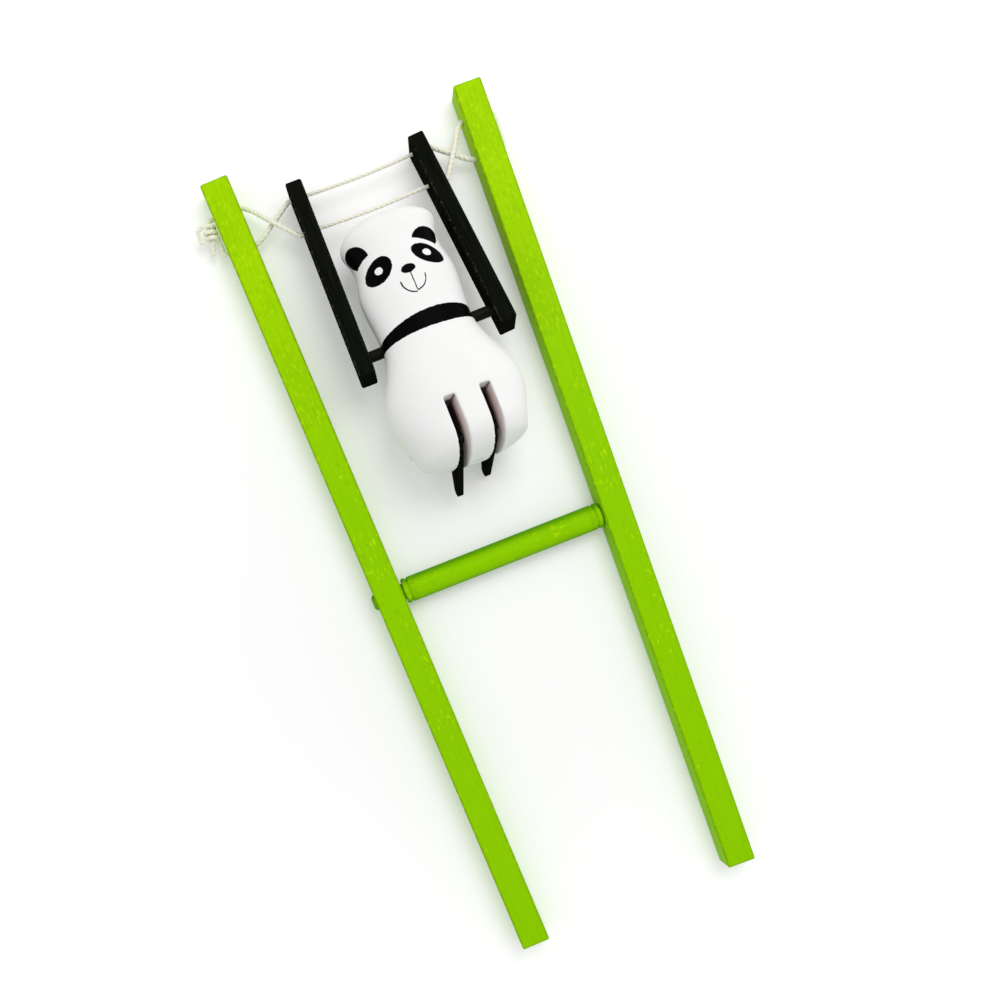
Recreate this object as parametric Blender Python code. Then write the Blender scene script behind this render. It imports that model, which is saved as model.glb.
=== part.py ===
"""Squeeze acrobat toy: a wooden panda on a twisted string between two green sticks.

The toy lies on its back. X runs across it, Y along the sticks towards their strung ends and Z up,
with Z = 0 under the sticks. Sizes are in metres.
"""

import math

import bmesh
import bpy
from mathutils import Matrix, Vector

# Clearances
gap = 0.0003
string_play = 0.00035

# Sticks
stick_length = 0.230
stick_side = 0.0080
stick_edge_radius = 0.0005
stick_gap_top = 0.0664
stick_gap_bottom = 0.0545
midline_x = 0.00213

# Crossbar
crossbar_y = -0.0085
crossbar_diameter = 0.0072
tenon_diameter = 0.0046
tenon_proud = 0.0010
groove_width = 0.0009
groove_depth = 0.0004
groove_from_shoulder = 0.0011

# String
string_diameter = 0.0012
string_level_y = 0.1013
string_hole_spacing = 0.0104
string_in_stick = 0.0035
strand_straight = 0.0006
strand_clearance = 0.00045
middle_slack = 0.0003

# Knot beside the left stick
knot_y = 0.10295
knot_z = 0.0042
knot_turns = 2.25
knot_turn_points = 8
tail_length = 0.0032

# Arms and shoulder pin
swing_y = 0.0977
swing_height = 0.0064
arm_reach = 0.0451
arm_hand_length = 0.0080
arm_shoulder_length = 0.0058
arm_thickness = 0.0046
arm_depth = 0.0090
arm_edge_radius = 0.0005
left_hand_x = -0.0172
left_shoulder_x = -0.0177
right_hand_x = 0.0191
right_shoulder_x = 0.0221
shoulder_pin_diameter = 0.0031

# Panda body, measured from the shoulder pin along the body
body_x = 0.0014
body_tilt = math.radians(3.9)
body_roll = math.radians(8.3)
body_turn = math.radians(0.9)
body_bottom = -0.0368
body_top = 0.0342
belly_at = -0.0197
neck_at = 0.0010
cheeks_at = 0.0134
notch_at = 0.0224
ears_at = 0.0300
hem_half_width = 0.0151
belly_half_width = 0.0192
neck_half_width = 0.0130
cheeks_half_width = 0.0137
notch_half_width = 0.0121
ears_half_width = 0.0139
belly_half_depth = 0.0150
neck_half_depth = 0.0103
head_half_depth = 0.0112
bottom_round_width = 0.0040
bottom_round_depth = 0.0085
top_round = 0.0065
section_power = 2.2
body_rings = 44
body_sides = 44

# Leg slots, hip pin and legs
slot_width = 0.0032
slot_spacing = 0.0099
slot_end = -0.0207
hip_y = -0.0300
hip_z = 0.0042
hip_pin_diameter = 0.0020
hip_pin_rim = 0.0040
leg_thickness = 0.0015
leg_shift = -0.0005
leg_length = 0.0208
leg_hip_radius = 0.0043
leg_tip_radius = 0.0015
left_leg_drop = math.radians(57)
right_leg_drop = math.radians(66.5)

# Round pieces
round_sides = 28


def half(value):
    return value / 2


stick_lean = math.atan2(half(stick_gap_top - stick_gap_bottom), stick_length)
inner_face_middle = (stick_gap_top + stick_gap_bottom) / 4
string_hole_diameter = string_diameter + 2 * string_play
arm_hole_offset = half(string_hole_spacing)
belly_turned = section_power / (section_power - 1)
belly_height = (
    (belly_half_width * math.sin(body_roll)) ** belly_turned
    + (belly_half_depth * math.cos(body_roll)) ** belly_turned
) ** (1 / belly_turned)
shoulder_height = gap + belly_height + belly_at * math.sin(body_tilt)
arm_tilt = math.asin((shoulder_height - swing_height) / arm_reach)
shoulder_y = swing_y - arm_reach * math.cos(arm_tilt)


def inner_face_x(y):
    """Distance from the midline to a stick's inner face at y."""
    return inner_face_middle + y * math.tan(stick_lean)


def outer_face_x(y):
    """Distance from the midline to a stick's outer face at y."""
    return inner_face_x(y) + stick_side / math.cos(stick_lean)


def clear_scene():
    for item in list(bpy.data.objects):
        bpy.data.objects.remove(item, do_unlink=True)


def make_material(name, colour, roughness, metallic=0.0):
    material = bpy.data.materials.new(name)
    material.use_nodes = True
    shader = material.node_tree.nodes["Principled BSDF"]
    shader.inputs["Base Color"].default_value = (*colour, 1.0)
    shader.inputs["Roughness"].default_value = roughness
    shader.inputs["Metallic"].default_value = metallic
    return material


def add_frame(name, parent, location, rotation=(0, 0, 0), order="XYZ"):
    frame = bpy.data.objects.new(name, None)
    frame.rotation_mode = order
    frame.location = location
    frame.rotation_euler = rotation
    frame.parent = parent
    bpy.context.collection.objects.link(frame)
    return frame


def add_object(name, mesh, parent, material, location=(0, 0, 0), rotation=(0, 0, 0)):
    piece = bpy.data.objects.new(name, mesh)
    piece.location = location
    piece.rotation_euler = rotation
    piece.parent = parent
    mesh.materials.append(material)
    bpy.context.collection.objects.link(piece)
    return piece


def mesh_from(name, bm):
    bmesh.ops.recalc_face_normals(bm, faces=bm.faces)
    mesh = bpy.data.meshes.new(name)
    bm.to_mesh(mesh)
    bm.free()
    mesh.shade_smooth()
    mesh.set_sharp_from_angle(angle=math.radians(35))
    return mesh


def rounded_box(name, low, high, radius):
    """A box between two corners with its edges rounded."""
    bm = bmesh.new()
    bmesh.ops.create_cube(bm, size=1.0)
    size = Vector(high) - Vector(low)
    centre = (Vector(high) + Vector(low)) / 2
    bmesh.ops.scale(bm, vec=size, verts=bm.verts)
    bmesh.ops.translate(bm, vec=centre, verts=bm.verts)
    bmesh.ops.bevel(bm, geom=bm.edges[:], offset=radius, segments=2, profile=0.5, affect="EDGES")
    return mesh_from(name, bm)


def turned_along_x(name, profile, sides=round_sides):
    """A turned piece from (x, radius) points, closed by flat ends."""
    bm = bmesh.new()
    rings = []
    for x, radius in profile:
        ring = []
        for step in range(sides):
            angle = math.tau * step / sides
            ring.append(bm.verts.new((x, radius * math.cos(angle), radius * math.sin(angle))))
        rings.append(ring)
    for first, second in zip(rings, rings[1:]):
        for step in range(sides):
            after = (step + 1) % sides
            bm.faces.new((first[step], first[after], second[after], second[step]))
    bm.faces.new(rings[0])
    bm.faces.new(rings[-1])
    return mesh_from(name, bm)


def cut(piece, cutter):
    """Leaves the cutter's shape open in the piece."""
    cutter.hide_render = True
    cutter.display_type = "WIRE"
    modifier = piece.modifiers.new("cut_" + cutter.name, "BOOLEAN")
    modifier.operation = "DIFFERENCE"
    modifier.solver = "EXACT"
    modifier.object = cutter


def bore_cutter(name, parent, diameter, low, high, location=(0, 0, 0)):
    """A round cutter along X, as long as it needs to run past the piece."""
    mesh = turned_along_x(name, ((low, half(diameter)), (high, half(diameter))))
    return add_object(name, mesh, parent, cutter_paint, location)


def smooth_route(points, step):
    """Points at an even step on a smooth curve through the route's own points."""
    route = [Vector(point) for point in points]
    headings = []
    for index, point in enumerate(route):
        before = route[max(index - 1, 0)]
        after = route[min(index + 1, len(route) - 1)]
        headings.append((after - before) / ((after - point).length + (point - before).length))
    smooth = []
    for index, (start, end) in enumerate(zip(route, route[1:])):
        length = (end - start).length
        leaving = headings[index] * length
        arriving = headings[index + 1] * length
        count = max(2, round(length / step))
        for share in (part / count for part in range(count)):
            rest = 1 - share
            smooth.append(
                start * rest * rest * (1 + 2 * share) + leaving * share * rest * rest
                + end * share * share * (3 - 2 * share) - arriving * share * share * rest
            )
    smooth.append(route[-1])
    return smooth


def least_gap_to_itself(route):
    """Smallest clearance between two stretches of one string, measured on close points."""
    points = smooth_route(route, string_diameter / 6)
    along = [0.0]
    for start, end in zip(points, points[1:]):
        along.append(along[-1] + (end - start).length)
    least = math.inf
    for first, point in enumerate(points):
        for second in range(first):
            if along[first] - along[second] > 3 * string_diameter:
                least = min(least, (point - points[second]).length)
    return least - string_diameter


def add_string(name, route, parent):
    """A stretch of round string along a smooth route, closed by its own caps."""
    curve = bpy.data.curves.new(name, "CURVE")
    curve.dimensions = "3D"
    curve.bevel_depth = half(string_diameter)
    curve.bevel_resolution = 2
    curve.use_fill_caps = True
    curve.render_resolution_u = 0
    points = smooth_route(route, 2 * string_diameter)
    spline = curve.splines.new("POLY")
    spline.points.add(len(points) - 1)
    for target, point in zip(spline.points, points):
        target.co = (*point, 1.0)
    return add_object(name, curve, parent, string_cotton)


def add_stick(name, side):
    """A square stick on its pivot at the crossbar, leaning outwards to its strung end."""
    pivot_x = side * (inner_face_x(crossbar_y) + half(stick_side) / math.cos(stick_lean))
    low = (-half(stick_side), -half(stick_length) - crossbar_y, -half(stick_side))
    high = (half(stick_side), half(stick_length) - crossbar_y, half(stick_side))
    mesh = rounded_box(name, low, high, stick_edge_radius)
    stick = add_object(
        name, mesh, toy, green_paint,
        (pivot_x, crossbar_y, half(stick_side)), (0, 0, -side * stick_lean),
    )
    past = stick_side
    bore = bore_cutter(
        name + "_bore", toy, tenon_diameter + 2 * gap, -past, past,
        (pivot_x, crossbar_y, half(stick_side)),
    )
    cut(stick, bore)
    for label, offset in (("upper", half(string_hole_spacing)), ("lower", -half(string_hole_spacing))):
        hole_y = string_level_y + offset
        hole = bore_cutter(
            name + "_" + label + "_hole", toy, string_hole_diameter, -past, past,
            (side * (inner_face_x(hole_y) + half(stick_side)), hole_y, half(stick_side)),
        )
        cut(stick, hole)
    return stick


def add_crossbar():
    """The dowel between the sticks, with a thinner tenon in each of them."""
    shoulder = inner_face_x(crossbar_y) - gap - half(crossbar_diameter) * math.tan(stick_lean)
    outer = inner_face_x(crossbar_y) + stick_side
    radius = half(crossbar_diameter)
    tenon = half(tenon_diameter)
    edge = 0.0004
    groove_inner = shoulder - groove_from_shoulder - groove_width
    groove_outer = shoulder - groove_from_shoulder
    half_profile = (
        (groove_inner, radius),
        (groove_inner + groove_depth, radius - groove_depth),
        (groove_outer - groove_depth, radius - groove_depth),
        (groove_outer, radius),
        (shoulder - edge, radius),
        (shoulder, radius - edge),
        (shoulder, tenon),
    )
    left_end = outer + tenon_proud
    right_end = outer - gap
    left = [(-left_end, tenon - 2 * edge), (-left_end + edge, tenon - edge / 2), (-left_end + 2 * edge, tenon)]
    left += [(-x, r) for x, r in reversed(half_profile)]
    right = list(half_profile) + [(right_end - edge, tenon), (right_end, tenon - edge)]
    mesh = turned_along_x("crossbar", left + right)
    return add_object("crossbar", mesh, toy, green_paint, (0, crossbar_y, half(stick_side)))


def add_arm(name, hand_x, shoulder_x):
    """A flat arm from the hand with its two string holes to the shoulder pin."""
    lean = math.atan2(shoulder_x - hand_x, arm_reach)
    low = (-half(arm_thickness), -(arm_reach + arm_shoulder_length) / math.cos(lean), -half(arm_depth))
    high = (half(arm_thickness), arm_hand_length / math.cos(lean), half(arm_depth))
    mesh = rounded_box(name, low, high, arm_edge_radius)
    arm = add_object(name, mesh, swing, black_paint, (hand_x, 0, 0), (0, 0, lean))
    past = 2 * arm_thickness
    for label, offset in (("upper", arm_hole_offset), ("lower", -arm_hole_offset)):
        hole_x = hand_x - offset * math.tan(lean)
        hole = bore_cutter(
            name + "_" + label + "_hole", swing, string_hole_diameter,
            hole_x - past, hole_x + past, (0, offset, 0),
        )
        cut(arm, hole)
    bore = bore_cutter(
        name + "_bore", swing, shoulder_pin_diameter + 2 * gap,
        shoulder_x - past, shoulder_x + past, (0, -arm_reach, 0),
    )
    cut(arm, bore)
    return arm


def add_shoulder_pin():
    """The pin through both arms and the panda's neck, flush with the arms."""
    reach = half(arm_thickness) - gap
    radius = half(shoulder_pin_diameter)
    mesh = turned_along_x("shoulder_pin", (
        (left_shoulder_x - reach, radius),
        (right_shoulder_x + reach, radius),
    ))
    return add_object("shoulder_pin", mesh, swing, black_paint, (0, -arm_reach, 0))


def eased(y, stations):
    """A value that swings evenly from each station to the next."""
    for (start, start_value), (end, end_value) in zip(stations, stations[1:]):
        if y <= end:
            share = (y - start) / (end - start)
            return start_value + (end_value - start_value) * half(1 - math.cos(math.pi * share))
    return stations[-1][1]


def end_round(distance, length):
    """How far an elliptical end has opened at a distance from its tip."""
    if distance >= length:
        return 1.0
    return math.sqrt(1 - (1 - distance / length) ** 2)


def body_half_width(y):
    width = eased(y, (
        (body_bottom, hem_half_width),
        (belly_at, belly_half_width),
        (neck_at, neck_half_width),
        (cheeks_at, cheeks_half_width),
        (notch_at, notch_half_width),
        (ears_at, ears_half_width),
        (body_top, ears_half_width),
    ))
    return width * end_round(y - body_bottom, bottom_round_width) * end_round(body_top - y, top_round)


def body_half_depth(y):
    depth = eased(y, (
        (body_bottom, belly_half_depth),
        (belly_at, belly_half_depth),
        (neck_at, neck_half_depth),
        (cheeks_at, head_half_depth),
        (body_top, head_half_depth),
    ))
    return depth * end_round(y - body_bottom, bottom_round_depth) * end_round(body_top - y, top_round)


def body_side_x(y, z):
    """Half width of the body at a height over its middle."""
    share = abs(z) / body_half_depth(y)
    return body_half_width(y) * (1 - share ** section_power) ** (1 / section_power)


def hip_pin_inner_end():
    """The hip pin is driven in from the left and stops short of the right side."""
    return body_side_x(hip_y, hip_z) - hip_pin_rim


def add_panda_body():
    """Head and belly in one piece of wood, sawn to its outline and rounded over."""
    bm = bmesh.new()
    rings = []
    middle = half(body_top + body_bottom)
    for index in range(1, body_rings):
        y = middle - half(body_top - body_bottom) * math.cos(math.pi * index / body_rings)
        wide = body_half_width(y)
        deep = body_half_depth(y)
        ring = []
        for step in range(body_sides):
            angle = math.tau * (step + 0.5) / body_sides
            across = math.cos(angle)
            up = math.sin(angle)
            x = math.copysign(wide * abs(across) ** (2 / section_power), across)
            z = math.copysign(deep * abs(up) ** (2 / section_power), up)
            ring.append(bm.verts.new((x, y, z)))
        rings.append(ring)
    for first, second in zip(rings, rings[1:]):
        for step in range(body_sides):
            after = (step + 1) % body_sides
            bm.faces.new((first[step], second[step], second[after], first[after]))
    for ring, tip_y in ((rings[0], body_bottom), (rings[-1], body_top)):
        tip = bm.verts.new((0, tip_y, 0))
        for step in range(body_sides):
            bm.faces.new((ring[step], ring[(step + 1) % body_sides], tip))
    body = add_object("panda_body", mesh_from("panda_body", bm), panda, white_paint)

    past = 2 * belly_half_width
    for label, side in (("left", -1), ("right", 1)):
        centre = side * half(slot_spacing)
        mesh = rounded_box(
            label + "_slot",
            (centre - half(slot_width), 2 * body_bottom, -past),
            (centre + half(slot_width), slot_end, past),
            slot_width / 16,
        )
        cut(body, add_object(label + "_slot", mesh, panda, cutter_paint))
    bore = bore_cutter(
        "neck_bore", swing, shoulder_pin_diameter + 2 * gap, -past, past, (0, -arm_reach, 0),
    )
    cut(body, bore)
    hip_bore = bore_cutter(
        "hip_bore", panda, hip_pin_diameter + 2 * gap,
        -past, hip_pin_inner_end() + gap, (0, hip_y, hip_z),
    )
    cut(body, hip_bore)
    return body


def add_hip_pin():
    """A wire pin through the ribs beside the slots and both legs, its end just under the paint."""
    radius = half(hip_pin_diameter)
    outer_end = 2 * gap - body_side_x(hip_y, hip_z)
    mesh = turned_along_x("hip_pin", ((outer_end, radius), (hip_pin_inner_end(), radius)))
    return add_object("hip_pin", mesh, panda, steel, (0, hip_y, hip_z))


def add_leg(name, side, drop):
    """A flat leg, round at the hip and tapering to a round foot."""
    reach = leg_length - leg_tip_radius
    flank = math.asin((leg_hip_radius - leg_tip_radius) / reach)
    outline = []
    hip_steps = 18
    tip_steps = 8
    hip_sweep = math.pi + 2 * flank
    tip_sweep = math.pi - 2 * flank
    for step in range(hip_steps + 1):
        angle = -flank + hip_sweep * step / hip_steps
        outline.append((leg_hip_radius * math.cos(angle), leg_hip_radius * math.sin(angle)))
    for step in range(tip_steps + 1):
        angle = math.pi + flank + tip_sweep * step / tip_steps
        outline.append((leg_tip_radius * math.cos(angle), leg_tip_radius * math.sin(angle) - reach))
    bm = bmesh.new()
    lower = [bm.verts.new((-half(leg_thickness), y, z)) for z, y in outline]
    upper = [bm.verts.new((half(leg_thickness), y, z)) for z, y in outline]
    for step in range(len(outline)):
        after = (step + 1) % len(outline)
        bm.faces.new((lower[step], lower[after], upper[after], upper[step]))
    bm.faces.new(lower)
    bm.faces.new(upper)
    location = (side * half(slot_spacing) + leg_shift, hip_y, hip_z)
    leg = add_object(name, mesh_from(name, bm), panda, black_paint, location, (drop, 0, 0))
    hole = bore_cutter(
        name + "_hole", panda, hip_pin_diameter + 2 * gap, -slot_width, slot_width, location,
    )
    cut(leg, hole)
    return leg


def add_crossed_strings(label, side, hand_x, shoulder_x):
    """The two strands between a stick and an arm, which cross halfway.

    The one from the stick's upper hole passes in front and runs to the arm's lower hole.
    """
    lean = math.atan2(shoulder_x - hand_x, arm_reach)
    arm_half = half(arm_thickness) / math.cos(lean)
    swing_matrix = Matrix.Translation((0, swing_y, swing_height)) @ Matrix.Rotation(-arm_tilt, 4, "X")
    for name, up in ((label + "_front_strand", 1), (label + "_back_strand", -1)):
        stick_y = string_level_y + up * half(string_hole_spacing)
        face_x = side * inner_face_x(stick_y)
        arm_y = -up * arm_hole_offset
        arm_x = hand_x - arm_y * math.tan(lean) + side * (arm_half + gap)
        start = Vector((face_x + side * string_in_stick, stick_y, half(stick_side)))
        mouth = Vector((face_x - side * strand_straight, stick_y, half(stick_side)))
        end = swing_matrix @ Vector((arm_x, arm_y, 0))
        before_end = end + Vector((side * strand_straight, 0, 0))
        crossing = (mouth + before_end) / 2
        crossing.z = half(half(stick_side) + swing_height) + up * half(string_diameter + strand_clearance)
        add_string(name, (start, mouth, crossing, before_end, end), toy)


def add_middle_string(name, offset):
    """A strand between the arms, through a hole in each, a little slack."""
    left_lean = (left_shoulder_x - left_hand_x) / arm_reach
    right_lean = (right_shoulder_x - right_hand_x) / arm_reach
    left_x = left_hand_x - offset * left_lean
    right_x = right_hand_x - offset * right_lean
    middle_x = half(left_x + right_x)
    route = (
        (left_x - half(arm_thickness), offset, 0),
        (left_x + half(arm_thickness), offset, 0),
        (middle_x, offset - middle_slack, -middle_slack),
        (right_x - half(arm_thickness), offset, 0),
        (right_x + half(arm_thickness), offset, 0),
    )
    return add_string(name, route, swing)


def add_right_loop():
    """The string's turn on the right stick's outer side, from one hole into the other."""
    upper = string_level_y + half(string_hole_spacing)
    lower = string_level_y - half(string_hole_spacing)
    z = half(stick_side)
    bend = half(string_diameter) + strand_clearance
    corner = bend * (1 - math.sqrt(half(1)))
    route = (
        (inner_face_x(upper) + string_in_stick + gap, upper, z),
        (outer_face_x(upper), upper, z),
        (outer_face_x(upper) + bend - corner, upper - corner, z),
        (outer_face_x(upper) + bend, upper - bend, z),
        (outer_face_x(lower) + bend, lower + bend, z),
        (outer_face_x(lower) + bend - corner, lower + corner, z),
        (outer_face_x(lower), lower, z),
        (inner_face_x(lower) + string_in_stick + gap, lower, z),
    )
    return add_string("right_string_loop", route, toy)


def add_string_knot():
    """Both string ends beside the left stick, one wound round the other, with two tails.

    The winding runs up the core end, turning from the side next to the stick over the front.
    """
    upper = string_level_y + half(string_hole_spacing)
    lower = string_level_y - half(string_hole_spacing)
    z = half(stick_side)
    radius = string_diameter + gap
    pitch = string_diameter + strand_clearance
    side = radius + string_diameter + strand_clearance
    centre = -outer_face_x(knot_y) - gap - half(string_diameter) - radius
    bottom = knot_y - half(knot_turns * pitch)
    top = knot_y + half(knot_turns * pitch)
    points = round(knot_turns * knot_turn_points)
    winding = []
    for index in range(points + 1):
        angle = math.tau * index / knot_turn_points
        winding.append((
            centre + radius * math.cos(angle),
            bottom + (top - bottom) * index / points,
            knot_z + radius * math.sin(angle),
        ))
    wound = [
        (-inner_face_x(lower) - string_in_stick - gap, lower, z),
        (-outer_face_x(lower), lower, z),
        (-outer_face_x(lower) - string_diameter, lower + half(string_diameter), z),
        (centre + radius, half(lower + bottom), knot_z - 0.4 * radius),
        (centre + 0.75 * radius, bottom - 0.3 * pitch, knot_z - 0.65 * radius),
        *winding,
        (centre - half(side), top + 0.15 * radius, knot_z + radius),
        (centre - side, top - 0.3 * radius, knot_z + 0.6 * radius),
        (centre - side, top - half(tail_length), knot_z),
        (centre - side, top - tail_length, knot_z - half(radius)),
    ]
    core = [
        (-inner_face_x(upper) - string_in_stick - gap, upper, z),
        (-outer_face_x(upper), upper, z),
        (half(centre - outer_face_x(upper)), upper, half(z + knot_z)),
        (centre, half(upper + top), knot_z),
        (centre, top - half(pitch), knot_z),
        (centre, bottom, knot_z),
        (centre - 0.2 * radius, bottom - half(string_diameter), knot_z - 0.1 * radius),
        (centre - 0.6 * radius, bottom - half(tail_length), knot_z - half(radius)),
        (centre - radius, bottom - tail_length, knot_z - radius),
    ]
    print(f"wound string end, least gap to itself: {least_gap_to_itself(wound) * 1000:.2f} mm")
    add_string("wound_string_end", wound, toy)
    add_string("core_string_end", core, toy)


clear_scene()

green_paint = make_material("green_paint", (0.32, 0.64, 0.004), 0.42)
black_paint = make_material("black_paint", (0.006, 0.007, 0.006), 0.32)
white_paint = make_material("white_paint", (0.86, 0.86, 0.85), 0.30)
string_cotton = make_material("string_cotton", (0.80, 0.77, 0.68), 0.90)
steel = make_material("steel", (0.55, 0.55, 0.55), 0.35, 1.0)
cutter_paint = make_material("cutter_paint", (0.5, 0.5, 0.5), 0.5)

toy = add_frame("toy_frame", None, (midline_x, 0, 0))
swing = add_frame("swing_axis", toy, (0, swing_y, swing_height), (-arm_tilt, 0, 0))
panda = add_frame(
    "shoulder_axis", toy, (body_x, shoulder_y, shoulder_height),
    (-body_tilt, body_roll, body_turn), "ZYX",
)

add_stick("left_stick", -1)
add_stick("right_stick", 1)
add_crossbar()
add_arm("left_arm", left_hand_x, left_shoulder_x)
add_arm("right_arm", right_hand_x, right_shoulder_x)
add_shoulder_pin()
add_panda_body()
add_hip_pin()
add_leg("left_leg", -1, left_leg_drop)
add_leg("right_leg", 1, right_leg_drop)
add_crossed_strings("left", -1, left_hand_x, left_shoulder_x)
add_crossed_strings("right", 1, right_hand_x, right_shoulder_x)
add_middle_string("upper_middle_string", arm_hole_offset)
add_middle_string("lower_middle_string", -arm_hole_offset)
add_right_loop()
add_string_knot()
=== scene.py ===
"""Squeeze acrobat toy: how the wooden panda, its sticks and its string look."""

import math

import bmesh
import bpy
import numpy
from mathutils import Matrix, Vector
from mathutils.bvhtree import BVHTree


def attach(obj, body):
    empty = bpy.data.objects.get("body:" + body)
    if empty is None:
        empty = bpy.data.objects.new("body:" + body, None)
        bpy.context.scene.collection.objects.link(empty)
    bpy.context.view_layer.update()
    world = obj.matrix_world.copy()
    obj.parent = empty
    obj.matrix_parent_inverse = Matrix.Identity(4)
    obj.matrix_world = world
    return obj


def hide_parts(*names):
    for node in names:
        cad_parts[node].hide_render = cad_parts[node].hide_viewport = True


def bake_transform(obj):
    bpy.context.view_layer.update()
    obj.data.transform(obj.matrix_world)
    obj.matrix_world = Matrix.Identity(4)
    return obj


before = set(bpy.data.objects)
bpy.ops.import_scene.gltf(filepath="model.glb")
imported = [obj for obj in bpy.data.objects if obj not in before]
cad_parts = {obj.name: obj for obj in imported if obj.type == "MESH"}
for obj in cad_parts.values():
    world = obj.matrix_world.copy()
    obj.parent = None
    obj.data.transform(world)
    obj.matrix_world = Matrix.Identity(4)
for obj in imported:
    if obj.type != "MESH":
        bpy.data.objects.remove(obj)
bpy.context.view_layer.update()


# Camera. It hangs 28 cm over the toy and looks almost straight down, turned by a quarter of a right angle,
# so that the sticks run from the upper left to the lower right of the picture.
camera_data = bpy.data.cameras.new("camera")
camera_data.sensor_width = 36
camera_data.lens = 35.208
camera_data.shift_x = 0.081
camera_data.shift_y = 0.135
camera_data.clip_start = 0.01
camera = bpy.data.objects.new("camera", camera_data)
camera.matrix_world = (
    Matrix.Translation((-0.02957, -0.0102, 0.280))
    @ Matrix.Rotation(math.radians(-2.34), 4, "X")
    @ Matrix.Rotation(math.radians(-0.31), 4, "Y")
    @ Matrix.Rotation(math.radians(-21.45), 4, "Z")
)
bpy.context.collection.objects.link(camera)
bpy.context.scene.camera = camera
bpy.context.scene.view_settings.view_transform = "Standard"


# String. One length of soft cream cotton, laid from three yarns, that is threaded through both sticks and
# both arms and knotted beside the left stick. Between each stick and its arm the two strands cross.
string_diameter = 0.0012
string_level = 0.1013
hole_spacing = 0.0104
string_in_stick = 0.0035
gap = 0.0003
strand_straight = 0.0006
strand_clearance = 0.00045
middle_slack = 0.0003
knot_y = 0.10295
knot_z = 0.0042
knot_turns = 2.25
knot_turn_points = 8
tail_length = 0.0032
midline_x = 0.00213
stick_side = 0.0080
stick_length = 0.230
stick_gap_top = 0.0664
stick_gap_bottom = 0.0545
stick_lean = math.atan2((stick_gap_top - stick_gap_bottom) / 2, stick_length)
inner_face_middle = (stick_gap_top + stick_gap_bottom) / 4
swing_y = 0.0977
swing_height = 0.0064
arm_reach = 0.0451
arm_thickness = 0.0046
arm_tilt = math.radians(9.92393)
left_hand_x = -0.0172
left_shoulder_x = -0.0177
right_hand_x = 0.0191
right_shoulder_x = 0.0221


class Reading:
    """The value of a socket, which can be reckoned with like a number."""

    def __init__(self, work, socket):
        self.work = work
        self.socket = socket

    def __add__(self, other):
        return self.work.number("ADD", self, other)

    def __radd__(self, other):
        return self.work.number("ADD", other, self)

    def __sub__(self, other):
        return self.work.number("SUBTRACT", self, other)

    def __rsub__(self, other):
        return self.work.number("SUBTRACT", other, self)

    def __mul__(self, other):
        return self.work.number("MULTIPLY", self, other)

    def __rmul__(self, other):
        return self.work.number("MULTIPLY", other, self)

    def __truediv__(self, other):
        return self.work.number("DIVIDE", self, other)

    def __rtruediv__(self, other):
        return self.work.number("DIVIDE", other, self)

    def __pow__(self, other):
        return self.work.number("POWER", self, other)

    def __abs__(self):
        return self.work.number("ABSOLUTE", self)


class Work:
    """The nodes of one finish, or of one geometry tree."""

    def __init__(self, tree):
        self.tree = tree

    def node(self, kind, settings, sockets, out=0):
        """Adds a node: first its settings, then the value or link of each named socket."""
        node = self.tree.nodes.new(kind)
        for name, value in settings.items():
            setattr(node, name, value)
        for name, value in sockets.items():
            if isinstance(value, Reading):
                self.tree.links.new(value.socket, node.inputs[name])
            else:
                node.inputs[name].default_value = value
        if isinstance(out, tuple):
            return [Reading(self, node.outputs[name]) for name in out]
        return Reading(self, node.outputs[out])

    def number(self, operation, *values):
        return self.node("ShaderNodeMath", {"operation": operation}, dict(enumerate(values)))

    def vector(self, operation, *values):
        return self.node("ShaderNodeVectorMath", {"operation": operation}, dict(enumerate(values)))

    def scaled(self, vector, size):
        return self.node("ShaderNodeVectorMath", {"operation": "SCALE"}, {0: vector, "Scale": size})

    def parts(self, vector):
        """The x, y and z of a vector."""
        return self.node("ShaderNodeSeparateXYZ", {}, {0: vector}, ("X", "Y", "Z"))

    def least(self, *values):
        return self.number("MINIMUM", *values)

    def most(self, *values):
        return self.number("MAXIMUM", *values)

    def ease(self, value, start, end):
        """Swings from 0 at start to 1 at end, whichever of the two is the larger."""
        share = self.node("ShaderNodeMapRange", {"interpolation_type": "SMOOTHSTEP"}, {
            "Value": value, "From Min": min(start, end), "From Max": max(start, end),
        })
        return share if start < end else 1 - share

    def mix(self, share, first, second):
        """A colour between two colours."""
        return self.node("ShaderNodeMix", {"data_type": "RGBA"}, {0: share, 6: first, 7: second}, 2)

    def speckle(self, place, size=1.0, detail=2.0, roughness=0.5):
        """Soft noise round 0.5 whose grains are about 1 / size wide."""
        return self.node("ShaderNodeTexNoise", {}, {
            "Vector": place, "Scale": size, "Detail": detail, "Roughness": roughness,
        })

    def raised(self, height, distance):
        return self.node("ShaderNodeBump", {}, {"Distance": distance, "Height": height})

    def paint(self, **looks):
        """A shader from its looks, whose names are the sockets' with _ for each space."""
        sockets = {name.replace("_", " "): value for name, value in looks.items()}
        return self.node("ShaderNodeBsdfPrincipled", {}, sockets)


def seen(red, green, blue):
    """A colour as a screen shows it, each part from 0 to 255."""
    parts = [part / 255 for part in (red, green, blue)]
    return tuple(p / 12.92 if p <= 0.04045 else ((p + 0.055) / 1.055) ** 2.4 for p in parts) + (1.0,)


def new_finish(name):
    """A material without nodes, and the work on it."""
    material = bpy.data.materials.new(name)
    material.use_nodes = True
    material.node_tree.nodes.clear()
    return material, Work(material.node_tree)


def close_finish(work, shader):
    work.node("ShaderNodeOutputMaterial", {}, {"Surface": shader}, ())


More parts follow.
